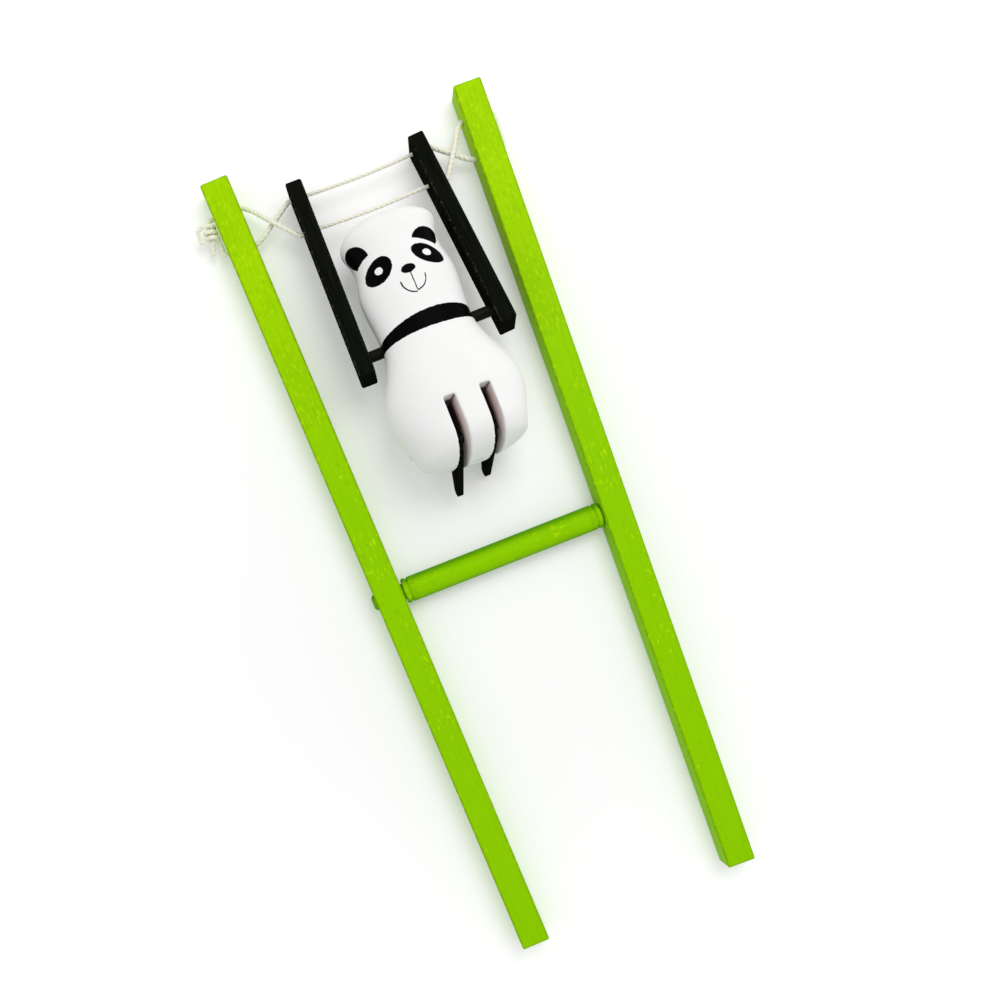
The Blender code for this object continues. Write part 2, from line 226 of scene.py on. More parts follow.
cotton, work = new_finish("soft_cotton")
thread = work.node("ShaderNodeAttribute", {"attribute_name": "thread"}, {}, "Vector")
fibre = work.speckle(work.vector("MULTIPLY", thread, (6000, 6000, 1100)), 1.0, 3.0, 0.6)
age = work.speckle(work.scaled(thread, 600), 1.0, 1.0)
cream = work.mix(work.ease(fibre, 0.3, 0.7), seen(251, 248, 226), seen(255, 254, 242))
cream = work.mix(work.ease(age, 0.5, 0.75) * 0.25, cream, seen(240, 234, 206))
close_finish(work, work.paint(
    Base_Color=cream, Roughness=0.93, Specular_IOR_Level=0.15, Sheen_Weight=0.3,
    Normal=work.raised(fibre, 0.00006),
))

laid_string = bpy.data.node_groups.new("laid_string", "GeometryNodeTree")
laid_string.interface.new_socket("Path", in_out="INPUT", socket_type="NodeSocketGeometry")
for name, kind in (
    ("String Radius", "Float"), ("Yarn Radius", "Float"), ("Yarns", "Int"), ("Lay Length", "Float"),
    ("Step", "Float"), ("Opened Length", "Float"), ("Opening", "Float"), ("Fibre Density", "Float"),
    ("Fibre Size", "Float"), ("Seed", "Int"), ("Cotton", "Material"),
):
    laid_string.interface.new_socket(name, in_out="INPUT", socket_type="NodeSocket" + kind)
laid_string.interface.new_socket("String", in_out="OUTPUT", socket_type="NodeSocketGeometry")
work = Work(laid_string)
given = {
    item.name: work.node("NodeGroupInput", {}, {}, item.name)
    for item in laid_string.interface.items_tree if item.in_out == "INPUT"
}
path = work.node("GeometryNodeResampleCurve", {"mode": "LENGTH"}, {
    "Curve": given["Path"], "Length": given["Step"],
})
plies, ply = work.node("GeometryNodeDuplicateElements", {"domain": "SPLINE"}, {
    "Geometry": path, "Amount": given["Yarns"],
}, ("Geometry", "Duplicate Index"))
along = work.node("GeometryNodeSplineParameter", {}, {}, "Length")
whole_length = work.node("GeometryNodeSplineLength", {}, {}, "Length")
opened = work.node("ShaderNodeMapRange", {"interpolation_type": "SMOOTHSTEP"}, {
    "Value": whole_length - along, "From Min": given["Opened Length"], "From Max": 0.0,
    "To Min": 0.0, "To Max": given["Opening"],
})
outward = work.node("ShaderNodeVectorRotate", {"rotation_type": "AXIS_ANGLE"}, {
    "Vector": work.node("GeometryNodeInputNormal", {}, {}),
    "Axis": work.node("GeometryNodeInputTangent", {}, {}),
    "Angle": (ply / given["Yarns"] + along / given["Lay Length"]) * math.tau,
})
laid = work.node("GeometryNodeSetPosition", {}, {
    "Geometry": plies,
    "Offset": work.scaled(outward, (given["String Radius"] - given["Yarn Radius"]) * (1 + opened)),
})
laid = work.node("GeometryNodeStoreNamedAttribute", {"data_type": "FLOAT", "domain": "POINT"}, {
    "Geometry": laid, "Name": "along", "Value": along + ply,
})
laid = work.node("GeometryNodeSetCurveRadius", {}, {"Curve": laid, "Radius": 1 - 0.25 * opened})
ring = work.node("GeometryNodeCurvePrimitiveCircle", {"mode": "RADIUS"}, {
    "Resolution": 9, "Radius": given["Yarn Radius"],
})
ring = work.node("GeometryNodeStoreNamedAttribute", {"data_type": "FLOAT", "domain": "POINT"}, {
    "Geometry": ring, "Name": "around",
    "Value": work.node("GeometryNodeSplineParameter", {}, {}, "Factor") * math.tau,
})
yarn = work.node("GeometryNodeCurveToMesh", {}, {"Curve": laid, "Profile Curve": ring, "Fill Caps": True})
around = work.node("GeometryNodeInputNamedAttribute", {"data_type": "FLOAT"}, {"Name": "around"})
yarn = work.node("GeometryNodeStoreNamedAttribute", {"data_type": "FLOAT_VECTOR", "domain": "POINT"}, {
    "Geometry": yarn, "Name": "thread",
    "Value": work.node("ShaderNodeCombineXYZ", {}, {
        0: work.number("COSINE", around) * given["Yarn Radius"],
        1: work.number("SINE", around) * given["Yarn Radius"],
        2: work.node("GeometryNodeInputNamedAttribute", {"data_type": "FLOAT"}, {"Name": "along"}),
    }),
})
roots, lying = work.node("GeometryNodeDistributePointsOnFaces", {"distribute_method": "RANDOM"}, {
    "Mesh": yarn, "Density": given["Fibre Density"], "Seed": given["Seed"],
}, ("Points", "Rotation"))
fibre_ring = work.node("GeometryNodeCurvePrimitiveCircle", {"mode": "RADIUS"}, {
    "Resolution": 3, "Radius": 0.016,
})
fibre_path = work.node("GeometryNodeCurvePrimitiveBezierSegment", {"mode": "POSITION"}, {
    "Resolution": 5, "Start": (0, 0, -0.1), "Start Handle": (0.1, 0, 0.35),
    "End Handle": (0.6, 0.1, 0.5), "End": (1.0, 0.35, 0.3),
})
fibre = work.node("GeometryNodeCurveToMesh", {}, {
    "Curve": fibre_path, "Profile Curve": fibre_ring, "Fill Caps": True,
})
leaning = work.node("FunctionNodeRandomValue", {"data_type": "FLOAT_VECTOR"}, {
    0: (-0.4, -0.4, 0.0), 1: (0.4, 0.4, math.tau), "Seed": given["Seed"],
})
grown = work.node("FunctionNodeRandomValue", {"data_type": "FLOAT"}, {
    2: 0.35, 3: 1.0, "Seed": given["Seed"] + 1,
}, 1)
fibres = work.node("GeometryNodeInstanceOnPoints", {}, {
    "Points": roots, "Instance": fibre,
    "Rotation": work.node("FunctionNodeRotateRotation", {"rotation_space": "LOCAL"}, {
        "Rotation": lying, "Rotate By": leaning,
    }),
    "Scale": grown * given["Fibre Size"],
})
joined = laid_string.nodes.new("GeometryNodeJoinGeometry")
for part in (fibres, yarn):
    laid_string.links.new(part.socket, joined.inputs[0])
string = work.node("GeometryNodeRealizeInstances", {}, {"Geometry": Reading(work, joined.outputs[0])})
string = work.node("GeometryNodeSetMaterial", {}, {"Geometry": string, "Material": given["Cotton"]})
work.node("NodeGroupOutput", {}, {"String": string}, ())


def smooth_route(points, step):
    """Points at an even step on a smooth curve through the route's own points."""
    route = [Vector(point) for point in points]
    headings = []
    for index, point in enumerate(route):
        before = route[max(index - 1, 0)]
        after = route[min(index + 1, len(route) - 1)]
        headings.append((after - before) / ((after - point).length + (point - before).length))
    smooth = []
    for index, (start, end) in enumerate(zip(route, route[1:])):
        length = (end - start).length
        leaving = headings[index] * length
        arriving = headings[index + 1] * length
        count = max(2, round(length / step))
        for share in (part / count for part in range(count)):
            rest = 1 - share
            smooth.append(
                start * rest * rest * (1 + 2 * share) + leaving * share * rest * rest
                + end * share * share * (3 - 2 * share) - arriving * share * share * rest
            )
    smooth.append(route[-1])
    return smooth


def lay_string(name, routes, seed, opening=0.0, fullness=1.0):
    """The strands of one piece along their routes; an opening spreads the yarns at the last ends."""
    curve = bpy.data.curves.new(name, "CURVE")
    curve.dimensions = "3D"
    for route in routes:
        points = smooth_route(route, 0.0004)
        spline = curve.splines.new("POLY")
        spline.points.add(len(points) - 1)
        for target, point in zip(spline.points, points):
            target.co = (point.x + midline_x, point.y, point.z, 1.0)
    paths = bpy.data.objects.new(name + "_paths", curve)
    bpy.context.collection.objects.link(paths)
    modifier = paths.modifiers.new("laid_string", "NODES")
    modifier.node_group = laid_string
    sizes = {
        "String Radius": string_diameter / 2 * fullness, "Yarn Radius": 0.00037 * fullness, "Yarns": 3,
        "Lay Length": 0.0046, "Step": 0.00018, "Opened Length": 0.0014, "Opening": opening,
        "Fibre Density": 2200000.0, "Fibre Size": 0.0006, "Seed": seed, "Cotton": cotton,
    }
    for item in laid_string.interface.items_tree:
        if item.in_out == "INPUT" and item.name in sizes:
            modifier[item.identifier] = sizes[item.name]
    evaluated = paths.evaluated_get(bpy.context.evaluated_depsgraph_get())
    mesh = bpy.data.meshes.new_from_object(evaluated)
    bpy.data.objects.remove(paths)
    mesh.name = name
    mesh.shade_smooth()
    piece = bpy.data.objects.new(name, mesh)
    bpy.context.collection.objects.link(piece)
    return piece


def inner_face_x(y):
    """Distance from the midline to a stick's inner face."""
    return inner_face_middle + y * math.tan(stick_lean)


def outer_face_x(y):
    """Distance from the midline to a stick's outer face."""
    return inner_face_x(y) + stick_side / math.cos(stick_lean)


upper = string_level + hole_spacing / 2
lower = string_level - hole_spacing / 2
hole_z = stick_side / 2

wind_radius = string_diameter + gap
pitch = string_diameter + strand_clearance
tail_side = wind_radius + string_diameter + strand_clearance
core_x = -outer_face_x(knot_y) - gap - string_diameter / 2 - wind_radius
bottom = knot_y - knot_turns * pitch / 2
top = knot_y + knot_turns * pitch / 2
wind_points = round(knot_turns * knot_turn_points)
winding = []
for index in range(wind_points + 1):
    angle = math.tau * index / knot_turn_points
    winding.append((
        core_x + wind_radius * math.cos(angle),
        bottom + (top - bottom) * index / wind_points,
        knot_z + wind_radius * math.sin(angle),
    ))
wound = (
    (-inner_face_x(lower) - string_in_stick - gap, lower, hole_z),
    (-outer_face_x(lower), lower, hole_z),
    (-outer_face_x(lower) - string_diameter, lower + string_diameter / 2, hole_z),
    (core_x + wind_radius, (lower + bottom) / 2, knot_z - 0.4 * wind_radius),
    (core_x + 0.75 * wind_radius, bottom - 0.3 * pitch, knot_z - 0.65 * wind_radius),
    *winding,
    (core_x - tail_side / 2, top + 0.15 * wind_radius, knot_z + wind_radius),
    (core_x - tail_side, top - 0.3 * wind_radius, knot_z + 0.6 * wind_radius),
    (core_x - tail_side, top - tail_length / 2, knot_z),
    (core_x - tail_side, top - tail_length, knot_z - wind_radius / 2),
)
core = (
    (-inner_face_x(upper) - string_in_stick - gap, upper, hole_z),
    (-outer_face_x(upper), upper, hole_z),
    ((core_x - outer_face_x(upper)) / 2, upper, (hole_z + knot_z) / 2),
    (core_x, (upper + top) / 2, knot_z),
    (core_x, top - pitch / 2, knot_z),
    (core_x, bottom, knot_z),
    (core_x - 0.2 * wind_radius, bottom - string_diameter / 2, knot_z - 0.1 * wind_radius),
    (core_x - 0.6 * wind_radius, bottom - tail_length / 2, knot_z - wind_radius / 2),
    (core_x - wind_radius, bottom - tail_length, knot_z - wind_radius),
)
string_knot = lay_string("string_knot", (wound, core), 3, 0.7)
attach(string_knot, "left_side")
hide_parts("wound_string_end", "core_string_end")

swing = Matrix.Translation((0, swing_y, swing_height)) @ Matrix.Rotation(-arm_tilt, 4, "X")
for label, side, hand_x, shoulder_x in (
    ("left", -1, left_hand_x, left_shoulder_x),
    ("right", 1, right_hand_x, right_shoulder_x),
):
    arm_lean = math.atan2(shoulder_x - hand_x, arm_reach)
    arm_half = arm_thickness / 2 / math.cos(arm_lean)
    pair = []
    for up in (1, -1):
        stick_y = string_level + up * hole_spacing / 2
        face_x = side * inner_face_x(stick_y)
        arm_y = -up * hole_spacing / 2
        arm_x = hand_x - arm_y * math.tan(arm_lean) + side * (arm_half + gap)
        start = Vector((face_x + side * string_in_stick, stick_y, hole_z))
        mouth = Vector((face_x - side * strand_straight, stick_y, hole_z))
        end = swing @ Vector((arm_x, arm_y, 0))
        before_end = end + Vector((side * strand_straight, 0, 0))
        in_arm = end - Vector((side * (arm_half + gap), 0, 0))
        crossing = (mouth + before_end) / 2
        crossing.z = (hole_z + swing_height) / 2 + up * (string_diameter + strand_clearance) / 2
        pair.append((start, mouth, crossing, before_end, end, in_arm))
    crossed = lay_string(label + "_crossed_strings", pair, 7 + side, fullness=1.2 + 0.05 * side)
    side * inner_face_x(string_level) + midline_x
    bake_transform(crossed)
    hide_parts(label + "_front_strand", label + "_back_strand")

middle = []
for arm_y in (hole_spacing / 2, -hole_spacing / 2):
    left_x = left_hand_x - arm_y * (left_shoulder_x - left_hand_x) / arm_reach
    right_x = right_hand_x - arm_y * (right_shoulder_x - right_hand_x) / arm_reach
    middle.append([swing @ Vector(point) for point in (
        (left_x + 0.0001, arm_y, 0),
        (left_x + arm_thickness / 2, arm_y, 0),
        ((left_x + right_x) / 2, arm_y - middle_slack, -middle_slack),
        (right_x - arm_thickness / 2, arm_y, 0),
        (right_x - 0.0001, arm_y, 0),
    )])
middle_strings = lay_string("middle_strings", middle, 11, fullness=0.88)
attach(middle_strings, "arms")
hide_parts("upper_middle_string", "lower_middle_string")

bend = string_diameter / 2 + strand_clearance
corner = bend * (1 - math.sqrt(0.5))
right_loop = lay_string("right_loop", [[
    (inner_face_x(upper) + string_in_stick + gap, upper, hole_z),
    (outer_face_x(upper), upper, hole_z),
    (outer_face_x(upper) + bend - corner, upper - corner, hole_z),
    (outer_face_x(upper) + bend, upper - bend, hole_z),
    (outer_face_x(lower) + bend, lower + bend, hole_z),
    (outer_face_x(lower) + bend - corner, lower + corner, hole_z),
    (outer_face_x(lower), lower, hole_z),
    (inner_face_x(lower) + string_in_stick + gap, lower, hole_z),
]], 13)
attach(right_loop, "right_side")
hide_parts("right_string_loop")


# Table and light. The toy lies on a white table in an even white room, and one broad lamp stands high
# at its upper right, so that soft shadows fall to the left and below it.
def straight_rays(work):
    """1 for rays from the camera, mirrored or let through, 0 for the light that falls on things."""
    kinds = work.node("ShaderNodeLightPath", {}, {}, (
        "Is Camera Ray", "Is Glossy Ray", "Is Transmission Ray",
    ))
    return work.least(kinds[0] + kinds[1] + kinds[2], 1.0)


table_finish, work = new_finish("white_table")
seen_straight = straight_rays(work)
spread = work.node("ShaderNodeVectorMath", {"operation": "LENGTH"}, {
    0: work.node("ShaderNodeTexCoord", {}, {}, "Object"),
}, "Value")
brim = work.ease(spread, 0.05, 0.20)
close_finish(work, work.paint(
    Base_Color=(0.88, 0.88, 0.88, 1), Roughness=0.9, Specular_IOR_Level=0.0,
    Emission_Color=work.mix(seen_straight * (0.5 + 0.5 * brim), (0, 0, 0, 1), (1, 1, 1, 1)),
    Emission_Strength=0.36,
))
table_mesh = bpy.data.meshes.new("table")
table_mesh.from_pydata(
    [(-3, -3, 0), (3, -3, 0), (3, 3, 0), (-3, 3, 0)], [], [(0, 1, 2, 3)],
)
table_mesh.materials.append(table_finish)
table = bpy.data.objects.new("table", table_mesh)
bpy.context.collection.objects.link(table)

room = bpy.data.worlds.new("white_room")
room.use_nodes = True
room.node_tree.nodes.clear()
work = Work(room.node_tree)
seen_straight = straight_rays(work)
room_light = work.node("ShaderNodeBackground", {}, {
    "Color": work.mix(seen_straight, (0.68, 0.68, 0.68, 1), (1, 1, 1, 1)), "Strength": 1.0,
})
work.node("ShaderNodeOutputWorld", {}, {"Surface": room_light}, ())
bpy.context.scene.world = room

lamp_data = bpy.data.lights.new("lamp", "AREA")
lamp_data.shape = "DISK"
lamp_data.size = 0.46
lamp_data.energy = 1.60
lamp = bpy.data.objects.new("lamp", lamp_data)
lamp_side = Vector((0.40, 0.42, 1.0)).normalized()
lamp.location = lamp_side * 0.70
lamp.rotation_euler = lamp_side.to_track_quat("Z", "Y").to_euler()
bpy.context.collection.objects.link(lamp)


# Sticks. Two square sticks of close-grained wood, planed, their edges just broken, and painted green by
# hand; each has a hole for the crossbar's tenon and two for the string.
pivot_y = -0.0085


def in_piece(work, place):
    """Object coordinates in millimetres in a piece's own frame."""
    here = work.node("ShaderNodeTexCoord", {}, {}, "Object")
    own = work.node("ShaderNodeMapping", {"vector_type": "TEXTURE"}, {
        "Vector": here, "Location": place.translation, "Rotation": place.to_euler("XYZ"),
    })
    return work.scaled(own, 1000)


def dress(node, finish):
    """Gives a CAD piece its finish."""
    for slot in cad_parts[node].material_slots:
        slot.material = finish


def green_finish(name, place, along, edge, shaded=None):
    """Green paint on wood with its grain along one axis.

    edge says how near an edge is, shaded where painted shade darkens the green.
    """
    finish, work = new_finish(name)
    own = in_piece(work, place)
    here = work.node("ShaderNodeTexCoord", {}, {}, "Object")
    height = work.node("ShaderNodeSeparateXYZ", {}, {0: here}, "Y") * 1000
    stretched = work.vector("MULTIPLY", own, tuple(0.06 if axis == along else 1.2 for axis in range(3)))
    flecked = work.vector("MULTIPLY", own, tuple(0.55 if axis == along else 1.3 for axis in range(3)))
    grain = work.speckle(stretched, 1.0, 4.0, 0.6)
    fleck = work.speckle(flecked, 1.0, 3.0, 0.55)
    blotch = work.speckle(own, 0.09, 3.0, 0.55)
    grit = work.speckle(own, 4.0, 1.0, 0.4)
    # Painted light: the green grows lighter towards the sticks' upper ends.
    paint = work.mix(work.ease(height, 5, 105), seen(147, 212, 0), seen(172, 226, 0))
    paint = work.mix(work.ease(grain, 0.35, 0.70) * 0.22, paint, seen(128, 190, 0))
    paint = work.mix(work.ease(blotch, 0.40, 0.65) * 0.25, paint, seen(137, 200, 0))
    light_fleck = work.ease(fleck, 0.54, 0.70) * work.ease(blotch + height * 0.0012, 0.46, 0.60)
    paint = work.mix(light_fleck * 0.85, paint, seen(188, 234, 10))
    paint = work.mix(work.ease(fleck, 0.40, 0.30) * 0.35, paint, seen(120, 184, 0))
    paint = work.mix(work.ease(grit, 0.70, 0.80) * 0.3, paint, seen(186, 226, 40))
    if shaded:
        # Painted shade: a deeper green where shaded is 1, along the crossbar's sides and underside.
        paint = work.mix(shaded(work, own), paint, seen(92, 160, 0))
    # Darker olive on edges, ends and grooves: partly wear, partly painted shade where they turn from the
    # lamp; at the most used spots bare wood shows.
    worn_and_shaded_edge = edge(work, own) * work.ease(work.speckle(own, 0.55, 3.0, 0.6), 0.30, 0.56)
    paint = work.mix(worn_and_shaded_edge * 0.6, paint, seen(122, 160, 0))
    bare = worn_and_shaded_edge * work.ease(work.speckle(own, 1.9, 2.0, 0.6), 0.71, 0.76)
    paint = work.mix(bare * 0.7, paint, seen(204, 188, 120))
    height = 0.5 * grain + 0.5 * fleck + 0.10 * grit - 0.6 * bare
    close_finish(work, work.paint(
        Base_Color=paint, Roughness=0.34 + 0.16 * fleck + 0.2 * worn_and_shaded_edge, Specular_IOR_Level=0.02,
        Normal=work.raised(height, 0.00006),
    ))
    return finish


def near_stick_edge(work, own):
    """1 on a stick's edges and ends, 0 a little way from them."""
    x, y, z = work.parts(own)
    from_sides = work.most(4 - abs(x), 4 - abs(z))
    from_end = stick_length * 500 - abs(y + pivot_y * 1000)
    from_end = work.most(from_end, work.least(4 - abs(x), 4 - abs(z)))
    return work.ease(work.least(from_sides, from_end), 0.75, 0.25)


for name, side in (("left_stick", -1), ("right_stick", 1)):
    pivot_x = midline_x + side * (inner_face_x(pivot_y) + stick_side / 2 / math.cos(stick_lean))
    place = Matrix.Translation((pivot_x, pivot_y, stick_side / 2))
    place = place @ Matrix.Rotation(-side * stick_lean, 4, "Z")
    dress(name, green_finish("green_paint_" + name, place, 1, near_stick_edge))


# Crossbar. A turned dowel in the same green, with a shallow groove near each stick. Its thinner ends sit
# in the sticks' holes, and the left one stands a little proud.
groove_middle = 26.9


def near_bar_edge(work, own):
    """Wear and painted shade darken the green a little at the grooves, 0 between them."""
    x, y, z = work.parts(own)
    return work.ease(abs(abs(x) - groove_middle), 1.3, 0.7) * 0.4


def shaded_on_bar(work, own):
    """1 from the bar's sides down, which the photograph shows darker, and 0 along its top."""
    x, y, z = work.parts(own)
    return work.ease(z - 0.25 * y, 3.5, 1.0)


bar_place = Matrix.Translation((midline_x, pivot_y, stick_side / 2))
dress("crossbar", green_finish("green_paint_crossbar", bar_place, 0, near_bar_edge, shaded_on_bar))


# Arms and shoulder pin. Two flat black arms, sawn from thin wood with their edges rounded over, each with
# two holes for the string; a black dowel goes through both and through the panda's neck.
def black_finish(name, place, along, edge, gloss=0.0):
    """Thin black paint that turns grey where edge is near 1, partly from wear and partly as painted sheen,
    with small painted highlights there.
    """
    finish, work = new_finish(name)
    own = in_piece(work, place)
    stretched = work.vector("MULTIPLY", own, tuple(0.08 if axis == along else 1.5 for axis in range(3)))
    grain = work.speckle(stretched, 1.0, 4.0, 0.6)
    dust = work.speckle(own, 3.2, 3.0, 0.65)
    rubbed_and_sheen = edge(work, own) * work.ease(work.speckle(own, 0.8, 3.0, 0.6), 0.40, 0.70)
    paint = work.mix(work.ease(grain, 0.3, 0.7), seen(12, 14, 9), seen(22, 24, 18))
    # Grey where edge is near 1: partly wear, partly painted sheen on the glossy edges and flats.
    paint = work.mix(rubbed_and_sheen * 0.5, paint, seen(46, 47, 42))
    # Painted highlights: small light specks along the edges.
    painted_glint = edge(work, own) * work.ease(work.speckle(own, 1.6, 2.0, 0.6), 0.58, 0.66)
    paint = work.mix(painted_glint * 0.45, paint, seen(104, 106, 98))
    paint = work.mix(work.ease(dust, 0.68, 0.78) * 0.2, paint, seen(80, 82, 76))
    close_finish(work, work.paint(
        Base_Color=paint, Roughness=0.30 + 0.2 * grain + 0.15 * rubbed_and_sheen, Specular_IOR_Level=gloss,
        Normal=work.raised(0.8 * grain + 0.3 * dust, 0.00008),
    ))
    return finish


arm_depth = 0.0090


def near_arm_edge(work, own):
    """1 on the long edges of an arm, less on its flats and 0 on its narrow sides."""
    x, y, z = work.parts(own)
    from_edge = work.most(arm_thickness * 500 - abs(x), arm_depth * 500 - abs(z))
    return work.most(work.ease(from_edge, 0.7, 0.15), 0.2 * work.ease(abs(x), 2.15, 2.27))


def near_pin_rim(work, own):
    """1 at the rims of the pin's two ends."""
    x, y, z = work.parts(own)
    return work.ease((y * y + z * z) ** 0.5, 1.2, 1.5) * work.ease(abs(x - 2.2), 20.5, 21.5)


for name, hand_x, shoulder_x in (
    ("left_arm", left_hand_x, left_shoulder_x),
    ("right_arm", right_hand_x, right_shoulder_x),
):
    arm_lean = math.atan2(shoulder_x - hand_x, arm_reach)
    place = (
        Matrix.Translation((midline_x, 0, 0)) @ swing
        @ Matrix.Translation((hand_x, 0, 0)) @ Matrix.Rotation(arm_lean, 4, "Z")
    )
    dress(name, black_finish("black_paint_" + name, place, 1, near_arm_edge))
shoulder = Matrix.Translation((midline_x, 0, 0)) @ swing @ Matrix.Translation((0, -arm_reach, 0))
dress("shoulder_pin", black_finish("black_paint_shoulder_pin", shoulder, 0, near_pin_rim, 0.05))


# Panda. Head, neck and belly are one piece of wood, sawn to its outline, rounded over and dipped in white;
# two slots for the legs are sawn in from below, and the face, the ears and the collar are painted by hand.
body_place = Matrix.Translation((0.00353, 0.05327481, 0.01417256)) @ (
    Matrix.Rotation(math.radians(-3.9), 4, "X")
    @ Matrix.Rotation(math.radians(8.3), 4, "Y")
    @ Matrix.Rotation(math.radians(0.9), 4, "Z")
)
body_bottom = -0.0368
body_top = 0.0342
width_stations = (
    (body_bottom, 0.0151), (-0.0197, 0.0192), (0.0010, 0.0130), (0.0134, 0.0137),
    (0.0224, 0.0121), (0.0300, 0.0139), (body_top, 0.0139),
)
depth_stations = (
    (body_bottom, 0.0150), (-0.0197, 0.0150), (0.0010, 0.0103), (0.0134, 0.0112), (body_top, 0.0112),
)
bottom_round_width = 0.0040
bottom_round_depth = 0.0085
top_round = 0.0065
section_power = 2.2
slot_width = 0.0032
slot_spacing = 0.0099
slot_end = -0.0207
hip_y = -0.0300
hip_z = 0.0042
remesh_size = 0.00034
body_rings = 300
body_sides = 260
pin_bore_radius = 0.00185
hip_bore_radius = 0.0013
hip_bore_left_rim = 0.0015
hip_bore_right_rim = 0.0037
bore_past = 0.04


def eased(y, stations):
    """A value that swings evenly from each station to the next."""
    for (start, start_value), (end, end_value) in zip(stations, stations[1:]):
        if y <= end:
            share = (y - start) / (end - start)
            return start_value + (end_value - start_value) * (1 - math.cos(math.pi * share)) / 2
    return stations[-1][1]


def end_round(distance, length):
    """How far an elliptical end has opened at a distance from its tip."""
    if distance >= length:
        return 1.0
    return math.sqrt(1 - (1 - distance / length) ** 2)


def body_half(y, stations, bottom_round):
    return eased(y, stations) * end_round(y - body_bottom, bottom_round) * end_round(body_top - y, top_round)


def whole_body(rings, sides):
    """The body before its slots are sawn."""
    points = []
    faces = []
    middle = (body_top + body_bottom) / 2
    turn = numpy.arange(sides) * math.tau / sides
    across = numpy.sign(numpy.cos(turn)) * numpy.abs(numpy.cos(turn)) ** (2 / section_power)
    raised = numpy.sign(numpy.sin(turn)) * numpy.abs(numpy.sin(turn)) ** (2 / section_power)
    for index in range(1, rings):
        y = middle - (body_top - body_bottom) / 2 * math.cos(math.pi * index / rings)
        wide = body_half(y, width_stations, bottom_round_width)
        deep = body_half(y, depth_stations, bottom_round_depth)
        points += [(wide * a, y, deep * r) for a, r in zip(across, raised)]
    for ring in range(rings - 2):
        for step in range(sides):
            after = (step + 1) % sides
            low = ring * sides
            faces.append((low + step, low + sides + step, low + sides + after, low + after))
    for low, tip_y in ((0, body_bottom), ((rings - 2) * sides, body_top)):
        tip = len(points)
        points.append((0, tip_y, 0))
        for step in range(sides):
            rim = (low + step, low + (step + 1) % sides)
            faces.append((*rim, tip) if low == 0 else (*reversed(rim), tip))
    mesh = bpy.data.meshes.new("whole_body")
    mesh.from_pydata(points, [], faces)
    mesh.transform(body_place)
    return mesh


def cutter(name, bm, place):
    """An object in its place that stands for what a tool takes away."""
    bmesh.ops.transform(bm, matrix=place, verts=bm.verts)
    mesh = bpy.data.meshes.new(name)
    bm.to_mesh(mesh)
    bm.free()
    return bpy.data.objects.new(name, mesh)


def saw_cut(place, low, high):
    bm = bmesh.new()
    bmesh.ops.create_cube(bm, size=1)
    for vertex in bm.verts:
        vertex.co = [low[axis] + (high[axis] - low[axis]) * (vertex.co[axis] + 0.5) for axis in range(3)]
    return cutter("saw_cut", bm, place)


def drilled(place, radius, low, high):
    """A bore along X."""
    bm = bmesh.new()
    bmesh.ops.create_cone(bm, cap_ends=True, segments=48, radius1=radius, radius2=radius, depth=high - low)
    middle = Matrix.Translation(((high + low) / 2, 0, 0))
    return cutter("drilled", bm, place @ middle @ Matrix.Rotation(math.pi / 2, 4, "Y"))


uncut = whole_body(body_rings, body_sides)
skin = BVHTree.FromPolygons([v.co for v in uncut.vertices], [p.vertices for p in uncut.polygons])
rough_body = bpy.data.objects.new("rough_body", uncut)
bpy.context.collection.objects.link(rough_body)
hip_place = body_place @ Matrix.Translation((0, hip_y, hip_z))
share = hip_z / body_half(hip_y, depth_stations, bottom_round_depth)
rim_x = body_half(hip_y, width_stations, bottom_round_width)
rim_x = rim_x * (1 - share ** section_power) ** (1 / section_power)
cutters = [
    saw_cut(
        body_place,
        (side * slot_spacing / 2 - slot_width / 2, 2 * body_bottom, -bore_past),
        (side * slot_spacing / 2 + slot_width / 2, slot_end, bore_past),
    )
    for side in (-1, 1)
]
cutters.append(drilled(shoulder, pin_bore_radius, -bore_past, bore_past))
cutters.append(drilled(hip_place, hip_bore_radius, hip_bore_left_rim - rim_x, rim_x - hip_bore_right_rim))
for tool in cutters:
    bpy.context.collection.objects.link(tool)
    saw = rough_body.modifiers.new("saw", "BOOLEAN")
    saw.operation = "DIFFERENCE"
    saw.solver = "EXACT"
    saw.object = tool
filler = rough_body.modifiers.new("even_out", "REMESH")
filler.mode = "VOXEL"
filler.voxel_size = remesh_size
sander = rough_body.modifiers.new("sand", "SMOOTH")
sander.factor = 0.5
sander.iterations = 3
evaluated = rough_body.evaluated_get(bpy.context.evaluated_depsgraph_get())
body_mesh = bpy.data.meshes.new_from_object(evaluated)
for used in (rough_body, *cutters):
    bpy.data.objects.remove(used)

depths = numpy.empty(len(body_mesh.vertices), dtype=numpy.float32)
for index, vertex in enumerate(body_mesh.vertices):
    nearest, normal, _, distance = skin.find_nearest(vertex.co)
    depths[index] = distance * 1000 if (vertex.co - nearest).dot(normal) < 0 else 0.0
body_mesh.attributes.new("depth_in_wood", "FLOAT", "POINT").data.foreach_set("value", depths)
body_mesh.shade_smooth()
body_mesh.name = "painted_panda"
panda = bpy.data.objects.new("painted_panda", body_mesh)
bpy.context.collection.objects.link(panda)

face_finish, work = new_finish("painted_face")
own = in_piece(work, body_place)
wobble = work.speckle(own, 0.9, 2.0, 0.5) - 0.5
x, y, z = work.parts(own)
wavy_x = x + 0.35 * wobble
wavy_y = y - 0.35 * wobble
on_face = (wavy_x, wavy_y)
on_ears = (wavy_x + 0.2825 * (z - 9), wavy_y + 0.4197 * (z - 9))


